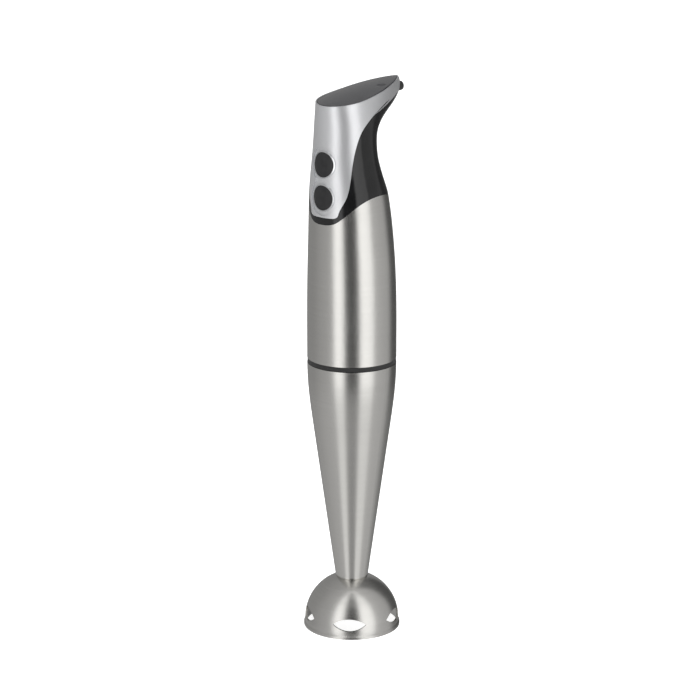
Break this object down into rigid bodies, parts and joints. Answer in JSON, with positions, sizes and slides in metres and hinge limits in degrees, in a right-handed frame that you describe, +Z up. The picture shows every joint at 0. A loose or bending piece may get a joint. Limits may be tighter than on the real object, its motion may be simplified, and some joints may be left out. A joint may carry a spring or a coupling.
{
  "type": "immersion blender",
  "caption": "Hand-held immersion blender with a steel leg and bell guard, a steel motor sleeve, a beaked black and silver handle and push buttons.",
  "frame": {"origin": "the drive axis on the plane that the rim of the bell stands on", "axes": "+Z up the drive axis, -Y the side of the push buttons, +Y the beak where the mains lead leaves, +X to the right seen from the buttons"},
  "size_m": [0.066, 0.0816, 0.3756],
  "materials": {
    "brushed_steel": "satin stainless, brushed lengthwise",
    "bright_steel": "ground bright",
    "lamination_steel": "stacked laminations",
    "cast_aluminium": "die-cast, as cast",
    "bronze": "sintered bronze and brass",
    "copper_winding": "enamelled copper",
    "copper_segments": "turned copper",
    "carbon": "pressed carbon",
    "silver_paint": "silver painted, satin gloss",
    "silver_trim": "satin chromed",
    "gloss_black": "moulded, gloss",
    "smoked_cap": "smoked dark grey, gloss",
    "button_black": "moulded, satin",
    "black_plastic": "moulded, matt",
    "coupler_plastic": "natural acetal",
    "fan_plastic": "glass-filled nylon",
    "black_rubber": "moulded rubber",
    "boot_silicone": "translucent silicone",
    "board_green": "solder-masked board",
    "capacitor_yellow": "film capacitor case"
  },
  "bodies": {
    "blending_leg": {"leg_shell": "brushed_steel", "bell_guard": "brushed_steel", "leg_coupling": "black_plastic", "bearing_tube": "bright_steel", "lower_bush": "bronze", "upper_bush": "bronze", "lip_seal": "black_rubber"},
    "blade_shaft": {"drive_shaft": "bright_steel", "driven_coupler": "coupler_plastic", "blade": "bright_steel", "blade_hub": "black_plastic", "blade_nut": "bright_steel", "shaft_circlip": "bright_steel"},
    "seal_ring": {"seal_ring": "black_rubber"},
    "motor_unit": {"motor_sleeve": "brushed_steel", "bayonet_socket": "black_plastic", "damper_ring": "black_rubber", "lower_bracket": "cast_aluminium", "upper_bracket": "cast_aluminium", "lower_bearing": "bright_steel", "upper_bearing": "bright_steel", "stator_core": "lamination_steel", "field_coil_front": "copper_winding", "field_coil_rear": "copper_winding", "motor_bolts": "bright_steel", "brush_holder_front": "bronze", "brush_holder_rear": "bronze", "brush_front": "carbon", "brush_rear": "carbon", "brush_spring_front": "bright_steel", "brush_spring_rear": "bright_steel", "front_shell": "silver_paint", "rear_grip": "gloss_black", "top_cap": "smoked_cap", "cap_gasket": "black_rubber", "button_trim_lower": "silver_trim", "button_trim_upper": "silver_trim", "switch_chassis": "black_plastic", "cord_shelf": "black_plastic", "switch_lower": "black_plastic", "switch_upper": "black_plastic", "circuit_board": "board_green", "capacitor": "capacitor_yellow", "cord_gland": "black_rubber", "cord_clamp": "black_plastic", "clamp_screws": "bright_steel", "button_boot_lower": "boot_silicone", "button_boot_upper": "boot_silicone"},
    "armature": {"motor_shaft": "bright_steel", "armature_core": "lamination_steel", "winding_lower": "copper_winding", "winding_upper": "copper_winding", "commutator": "copper_segments", "cooling_fan": "fan_plastic", "drive_coupler": "coupler_plastic"},
    "button_lower": {"button_lower": "button_black"},
    "button_upper": {"button_upper": "button_black"}
  },
  "joints": [
    {"name": "twist_lock", "type": "hinge", "parent": "blending_leg", "child": "seal_ring", "pos_m": [0, 0, 0.1878], "axis": [0, 0, 1], "range_deg": [0, 30]},
    {"name": "lift_off", "type": "slide", "parent": "seal_ring", "child": "motor_unit", "axis": [0, 0, 1], "range_m": [0, 0.06]},
    {"name": "armature_spin", "type": "hinge", "parent": "motor_unit", "child": "armature", "pos_m": [0, 0, 0.25], "axis": [0, 0, 1], "continuous": true},
    {"name": "blade_spin", "type": "hinge", "parent": "blending_leg", "child": "blade_shaft", "pos_m": [0, 0, 0.02], "axis": [0, 0, 1], "continuous": true},
    {"name": "press_lower", "type": "slide", "parent": "motor_unit", "child": "button_lower", "axis": [0, 1, 0], "range_m": [0, 0.002], "stiffness_N_per_m": 900, "deforming": ["button_boot_lower"]},
    {"name": "press_upper", "type": "slide", "parent": "motor_unit", "child": "button_upper", "axis": [0, 1, 0], "range_m": [0, 0.002], "stiffness_N_per_m": 900, "deforming": ["button_boot_upper"]}
  ],
  "couplings": [
    {"joint": "blade_spin", "follows": "armature_spin", "ratio": 1}
  ]
}
